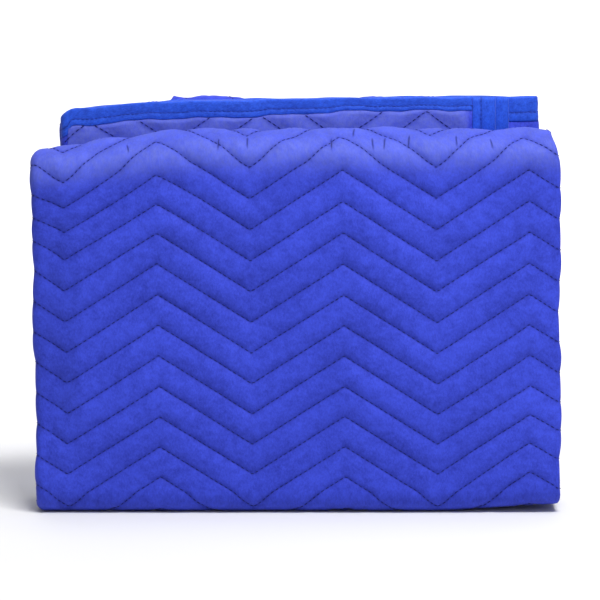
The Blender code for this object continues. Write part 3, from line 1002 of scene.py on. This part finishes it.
# Materials
look = {
    "shellColour": (0.036, 0.062, 0.590),
    # Dark tone for the cloth's mottle, also used as painted shade in the grooves beside the stitch lines
    "shellDarkAndGrooveShade": (0.012, 0.022, 0.300),
    # A lighter colour for wear and painted light on the ridge, brow and flap
    "shellWearAndPaintedLight": (0.170, 0.210, 0.570),
    "shellRoughness": 0.74,
    "wearAndPaintedLightShare": 0.75,
    "lineShare": 0.18,
    # Share of painted shade in the brow's pleats
    "pleatShadeShare": 0.70,
    # Share of painted shade in the grooves beside the stitch lines
    "grooveShadeShare": 0.42,
    "groovePinch": 0.0010,
    "tapeColour": (0.020, 0.098, 0.680),
    "tapeDark": (0.004, 0.028, 0.330),
    "tapeRoughness": 0.62,
    "seamShare": 0.55,
    "tapeRib": 0.0009,
    # Thread colour, also painted as shade in the brow's pleats
    "threadAndPleatShadeColour": (0.002, 0.004, 0.085),
    "threadLight": (0.005, 0.010, 0.140),
    "tapeThreadColour": (0.008, 0.024, 0.260),
    "tapeThreadLight": (0.016, 0.060, 0.420),
    "threadRoughness": 0.7,
}


def mathNode(tree, operation, *values, clamp=False):
    node = addNode(tree, "ShaderNodeMath", dict(enumerate(values)), operation=operation, use_clamp=clamp)
    return node.outputs[0]


def noiseNode(tree, vector, scale, detail, roughness=0.5):
    values = {"Vector": vector, "Scale": scale, "Detail": detail, "Roughness": roughness}
    return addNode(tree, "ShaderNodeTexNoise", values).outputs["Fac"]


def mixColour(tree, share, first, second):
    values = {"Factor": share, 6: first, 7: second}
    return addNode(tree, "ShaderNodeMix", values, data_type="RGBA").outputs[2]


def splitNode(tree, vector):
    return addNode(tree, "ShaderNodeSeparateXYZ", {0: vector}).outputs


def bumpNode(tree, height, distance, strength, normal=None):
    values = {"Height": height, "Distance": distance, "Strength": strength, "Normal": normal}
    return addNode(tree, "ShaderNodeBump", values).outputs["Normal"]


def attributeNode(tree, name, output="Fac"):
    return addNode(tree, "ShaderNodeAttribute", {}, attribute_name=name).outputs[output]


def mapNode(tree):
    return addNode(tree, "ShaderNodeUVMap", {}, uv_map="clothMap").outputs["UV"]


# Pressed non-woven fibres on a map in metres: cloudy weight, short fibres and a fine grid of bonded points
def fibreGroup():
    tree, given, out = newGroup("fibreCloth", {
        "Map": "Vector", "Cloud Scale": 70.0, "Fibre Scale": 900.0, "Point Pitch": 0.0013,
        "Colour": "Color", "Dark": "Color",
    }, {"Colour": "Color", "Height": "Float", "Points": "Float"})
    parts = splitNode(tree, given["Map"])
    rows = []
    for lean in (1, -1):
        place = mathNode(tree, "MULTIPLY_ADD", parts["Y"], lean, parts["X"])
        turns = mathNode(tree, "DIVIDE", place, given["Point Pitch"])
        wave = mathNode(tree, "COSINE", mathNode(tree, "MULTIPLY", turns, math.pi))
        rows.append(mathNode(tree, "ABSOLUTE", wave))
    points = mathNode(tree, "POWER", mathNode(tree, "MULTIPLY", *rows), 3.0)
    stretch = addNode(tree, "ShaderNodeMapping", {
        "Vector": given["Map"], "Scale": (1, 0.62, 1), "Rotation": (0, 0, 0.5),
    })
    cloud = noiseNode(tree, given["Map"], given["Cloud Scale"], 5, 0.62)
    broad = noiseNode(tree, given["Map"], 21.0, 3, 0.5)
    speck = noiseNode(tree, given["Map"], 1500.0, 2, 0.7)
    fibre = noiseNode(tree, stretch.outputs["Vector"], given["Fibre Scale"], 3, 0.6)
    shade = 0.32
    for noise, weight in ((cloud, 1.5), (broad, 0.8), (speck, 0.7), (fibre, 1.2)):
        shade = mathNode(tree, "MULTIPLY_ADD", mathNode(tree, "SUBTRACT", noise, 0.5), weight, shade)
    shade = mathNode(tree, "MULTIPLY_ADD", points, 0.16, shade, clamp=True)
    height = mathNode(tree, "MULTIPLY_ADD", points, -0.8, mathNode(tree, "MULTIPLY", fibre, 0.9))
    colour = mixColour(tree, shade, given["Colour"], given["Dark"])
    fill(tree, out, {"Colour": colour, "Height": height, "Points": points})
    return tree


# Short sharp pleats that the brow's turn gathers, each darkened with painted shade and dented in the bump:
# place across, distance past its start, half length, lean
pleats = (
    (-0.0660, 0.0115, 0.0040, 0.13),
    (-0.0405, 0.0125, 0.0045, 0.10),
    (0.0330, 0.0125, 0.0050, 0.17),
    (0.0545, 0.0240, 0.0050, 0.20),
    (0.0690, 0.0120, 0.0045, 0.10),
    (0.0795, 0.0125, 0.0045, 0.34),
    (0.1010, 0.0135, 0.0045, 0.36),
    (-0.1450, 0.0140, 0.0035, -0.20),
    (0.1430, 0.0140, 0.0040, 0.20),
    (0.1730, 0.0110, 0.0035, 0.05),
)


# One pleat's mask on the quilt's own places
def pleatGroup():
    tree, given, out = newGroup("shortPleat", {
        "Place": "Vector", "Across": 0.0, "Along": 0.0, "Width": 0.0007, "Half Length": 0.005, "Lean": 0.0,
    }, {"Mask": "Float"})
    parts = splitNode(tree, given["Place"])
    lengthwise = mathNode(tree, "SUBTRACT", parts["X"], given["Along"])
    leaning = mathNode(tree, "MULTIPLY_ADD", lengthwise, given["Lean"], given["Across"])
    crosswise = mathNode(tree, "DIVIDE", mathNode(tree, "SUBTRACT", parts["Y"], leaning), given["Width"])
    lengthwise = mathNode(tree, "DIVIDE", lengthwise, given["Half Length"])
    crosswise, lengthwise = mathNode(tree, "POWER", crosswise, 2), mathNode(tree, "POWER", lengthwise, 4)
    away = mathNode(tree, "MULTIPLY", mathNode(tree, "ADD", crosswise, lengthwise), -1.0)
    fill(tree, out, {"Mask": mathNode(tree, "EXPONENT", away)})
    return tree


# The stitch lines' thread colour, and a painted shade in the grooves beside them, worked out from a point's
# distance along and place across
def pinchGroup():
    tree, given, out = newGroup("pinchedLines", {
        "Place": "Vector", "First Row": firstRow, "Row Pitch": quilt["pitch"], "Pinch Width": 0.001,
        "Zigzag Start": quilt["start"], "Zigzag Step": quilt["step"], "Zigzag Rise": quilt["rise"],
    }, {"Line": "Float", "Groove Shade": "Float"})
    parts = splitNode(tree, given["Place"])
    shifted = mathNode(tree, "SUBTRACT", parts["Y"], given["Zigzag Start"])
    climbed = mathNode(tree, "PINGPONG", shifted, given["Zigzag Step"])
    share = mathNode(tree, "SUBTRACT", mathNode(tree, "DIVIDE", climbed, given["Zigzag Step"]), 0.5)
    rise = mathNode(tree, "MULTIPLY", share, given["Zigzag Rise"])
    along = mathNode(tree, "SUBTRACT", mathNode(tree, "SUBTRACT", parts["X"], given["First Row"]), rise)
    rows = mathNode(tree, "DIVIDE", along, given["Row Pitch"])
    away = mathNode(tree, "ABSOLUTE", mathNode(tree, "SUBTRACT", rows, mathNode(tree, "ROUND", rows)))
    away = mathNode(tree, "MULTIPLY", away, given["Row Pitch"])
    away = mathNode(tree, "DIVIDE", away, given["Pinch Width"])
    for label, power in (
        ("Line", mathNode(tree, "MULTIPLY", mathNode(tree, "MULTIPLY", away, away), -1.0)),
        ("Groove Shade", mathNode(tree, "MULTIPLY", away, -0.34)),
    ):
        fill(tree, out, {label: mathNode(tree, "MULTIPLY", mathNode(tree, "EXPONENT", power), parts["Z"])})
    return tree


def newMaterial(name, colour, roughness, sheen=0.0, spread=0.5):
    material = bpy.data.materials.new(name)
    material.use_nodes = True
    material.diffuse_color = (*colour, 1)
    shader = material.node_tree.nodes["Principled BSDF"]
    fill(material.node_tree, shader, {
        "Base Color": colour, "Roughness": roughness, "Specular IOR Level": 0.22,
        "Sheen Weight": sheen, "Sheen Roughness": spread,
    })
    return material, material.node_tree, shader


def shellMaterial(fibres, pinches, pleat):
    material, tree, shader = newMaterial("quilted_shell", look["shellColour"], look["shellRoughness"], 0.05)
    spread, place = mapNode(tree), attributeNode(tree, "quiltPlace", "Vector")
    cloth = addNode(tree, "ShaderNodeGroup", {
        "Map": spread, "Cloud Scale": 120.0, "Fibre Scale": 620.0, "Point Pitch": 0.0014,
        "Colour": look["shellColour"], "Dark": look["shellDarkAndGrooveShade"],
    }, node_tree=fibres).outputs
    pinch = addNode(tree, "ShaderNodeGroup", {
        "Place": place, "Pinch Width": look["groovePinch"],
    }, node_tree=pinches).outputs
    # Pleat masks: painted shade in the colour and a dent in the bump
    pleatShadeAndDent = 0.0
    for across, along, halfLength, lean in pleats:
        mask = addNode(tree, "ShaderNodeGroup", {
            "Place": place, "Across": across, "Along": startOf["brow"] + along,
            "Half Length": halfLength, "Lean": lean,
        }, node_tree=pleat).outputs["Mask"]
        pleatShadeAndDent = mathNode(tree, "ADD", pleatShadeAndDent, mask)
    # Wear and painted light, mixed in where the attribute is set and broken up by noise
    wearAndPaintedLight = mathNode(tree, "MULTIPLY", attributeNode(tree, "wearAndPaintedLight"), noiseNode(tree, spread, 240.0, 4, 0.65))
    # The colour takes wear and painted light, thread colour along the stitch lines, painted shade in the
    # pleats and painted shade in the grooves beside the lines
    colour = cloth["Colour"]
    for mask, share, paint in (
        (wearAndPaintedLight, look["wearAndPaintedLightShare"], look["shellWearAndPaintedLight"]),
        (pinch["Line"], look["lineShare"], look["threadAndPleatShadeColour"]),
        (pleatShadeAndDent, look["pleatShadeShare"], look["threadAndPleatShadeColour"]),
        (pinch["Groove Shade"], look["grooveShadeShare"], look["shellDarkAndGrooveShade"]),
    ):
        colour = mixColour(tree, mathNode(tree, "MULTIPLY", mask, share), colour, paint)
    gathers = noiseNode(tree, spread, 260.0, 3, 0.55)
    gathers = mathNode(tree, "MULTIPLY", gathers, mathNode(tree, "ADD", pinch["Groove Shade"], 0.35))
    normal = bumpNode(tree, mathNode(tree, "SUBTRACT", gathers, pleatShadeAndDent), 0.0011, 0.65)
    fill(tree, shader, {
        "Base Color": colour,
        "Normal": bumpNode(tree, cloth["Height"], 0.00016, 0.6, normal),
        "Roughness": mathNode(tree, "MULTIPLY_ADD", cloth["Points"], -0.16, look["shellRoughness"]),
    })
    return material


def tapeMaterial(fibres):
    plain, rough = look["tapeColour"], look["tapeRoughness"]
    material, tree, shader = newMaterial("binding_tape", plain, rough, 0.12, 0.45)
    spread = mapNode(tree)
    cloth = addNode(tree, "ShaderNodeGroup", {
        "Map": spread, "Cloud Scale": 160.0, "Fibre Scale": 700.0, "Point Pitch": 0.0010,
        "Colour": plain, "Dark": look["tapeDark"],
    }, node_tree=fibres).outputs
    seam = mathNode(tree, "MULTIPLY", attributeNode(tree, "seam"), look["seamShare"])
    turns = mathNode(tree, "MULTIPLY", splitNode(tree, spread)["X"], 2 * math.pi / look["tapeRib"])
    ribs = mathNode(tree, "MULTIPLY_ADD", mathNode(tree, "SINE", turns), 0.35, cloth["Height"])
    normal = bumpNode(tree, noiseNode(tree, spread, 210.0, 3, 0.5), 0.0010, 0.5)
    fill(tree, shader, {
        "Base Color": mixColour(tree, seam, cloth["Colour"], look["tapeThreadColour"]),
        "Normal": bumpNode(tree, ribs, 0.00014, 0.6, normal),
        "Roughness": mathNode(tree, "MULTIPLY_ADD", cloth["Points"], -0.12, rough),
    })
    return material


def threadMaterial(name, dark, light):
    material, tree, shader = newMaterial(name, dark, look["threadRoughness"])
    place = addNode(tree, "ShaderNodeTexCoord", {}).outputs["Object"]
    fill(tree, shader, {
        "Base Color": mixColour(tree, noiseNode(tree, place, 900.0, 2), dark, light),
        "Normal": bumpNode(tree, noiseNode(tree, place, 2600.0, 2), 0.0001, 0.5),
    })
    return material


fibres, pinches, pleat = fibreGroup(), pinchGroup(), pleatGroup()
shellLook, tapeLook = shellMaterial(fibres, pinches, pleat), tapeMaterial(fibres)
quiltThreadLook = threadMaterial("quilting_thread", look["threadAndPleatShadeColour"], look["threadLight"])
tapeThreadLook = threadMaterial("edge_thread", look["tapeThreadColour"], look["tapeThreadLight"])
pad.data.materials.append(shellLook)
for piece in tapes:
    piece.data.materials.append(tapeLook)
print("materials ready")

stitches = stitchTree()
quiltThread = sewLines("quilting_thread", quiltLines(), stitches, quiltThreadLook,
                       thread["stitchPitch"], thread["stitchLength"], thread["seed"])
tapeThread = sewLines("edge_thread", tapeLines(), stitches, tapeThreadLook,
                      thread["tapePitch"], thread["tapeLength"], thread["seed"] + 4)
print("thread sewn")

# Each piece rides on the one body and stands for its solid
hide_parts("quilted_pad")
tapeNodes = ("side_binding_outer", "side_binding_inner", "end_binding_flap", "end_binding_inside")
for piece, node in zip(tapes, tapeNodes):
    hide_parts(node)
    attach(piece, "root")
for piece in (pad, quiltThread):
    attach(piece, "root")
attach(tapeThread, "root")

# The photo's viewpoint and its soft light
view = {
    "aim": (0.0027, -0.045, 0.1883),
    "elevation": 7.5,
    "distance": 3.0,
    "frameWidth": 0.5184,
    "sensor": 36.0,
}


def makeCamera():
    camera = bpy.data.cameras.new("camera")
    camera.sensor_width = view["sensor"]
    camera.lens = view["sensor"] * view["distance"] / view["frameWidth"]
    obj = linked("camera", camera)
    lift = math.radians(view["elevation"])
    back = Vector((0, -math.cos(lift), math.sin(lift)))
    obj.location = Vector(view["aim"]) + back * view["distance"]
    obj.rotation_mode = "QUATERNION"
    obj.rotation_quaternion = (-back).to_track_quat("-Z", "Y")
    bpy.context.scene.camera = obj


# The studio: lights with place, aim, size and watts, and the floor's line from front to back with its height
studio = {
    "world": 0.22,
    "lights": {
        "key": ((0.55, -1.05, 2.1), (0, 0, 0.16), (1.2, 0.5), 64),
        "front": ((0.7, -2.4, 1.2), (0, 0, 0.16), (1.2, 0.9), 7),
        "top": ((0.1, 0.25, 2.3), (0, 0, 0.2), (1.4, 0.8), 12),
        "backdrop": ((0, 1.6, 2.6), (0, 4.0, 0.9), (3.0, 1.0), 170),
    },
    "floorLine": ((-4, 0), (3, 0), (3.6, 0.08), (4.0, 0.35), (4.2, 0.9), (4.25, 5)),
    "floorHalf": 6,
    "floorDrop": 0.0001,
    "floorColour": (0.70, 0.70, 0.71),
    "floorShade": (0.67, 0.67, 0.68),
    "floorShare": 0.04,
    "floorRoughness": 0.9,
}


def areaLight(name, place, aim, size, watts):
    light = bpy.data.lights.new(name, "AREA")
    light.shape = "RECTANGLE"
    light.size, light.size_y = size
    light.energy = watts
    obj = linked(name, light)
    obj.location = place
    obj.rotation_mode = "QUATERNION"
    obj.rotation_quaternion = (Vector(aim) - Vector(place)).to_track_quat("-Z", "Y")


def makeStudio():
    world = bpy.data.worlds.new("studio")
    world.use_nodes = True
    background = world.node_tree.nodes["Background"]
    fill(world.node_tree, background, {"Color": (1, 1, 1), "Strength": studio["world"]})
    bpy.context.scene.world = world
    for name, settings in studio["lights"].items():
        areaLight(name, *settings)
    material, tree, shader = newMaterial("studio_floor", studio["floorColour"], studio["floorRoughness"])
    speck = noiseNode(tree, addNode(tree, "ShaderNodeTexCoord", {}).outputs["Object"], 9.0, 3)
    speck = mathNode(tree, "MULTIPLY", speck, studio["floorShare"])
    fill(tree, shader, {"Base Color": mixColour(tree, speck, studio["floorColour"], studio["floorShade"])})
    mesh = bpy.data.meshes.new("floor")
    line, side = studio["floorLine"], studio["floorHalf"]
    points = [(x, y, z - studio["floorDrop"]) for y, z in line for x in (-side, side)]
    mesh.from_pydata(points, [], [(2 * i, 2 * i + 1, 2 * i + 3, 2 * i + 2) for i in range(len(line) - 1)])
    mesh.shade_smooth()
    mesh.materials.append(material)
    linked("floor", mesh)


makeCamera()
makeStudio()
bpy.context.scene.view_settings.view_transform = "Standard"
print("camera and studio ready")
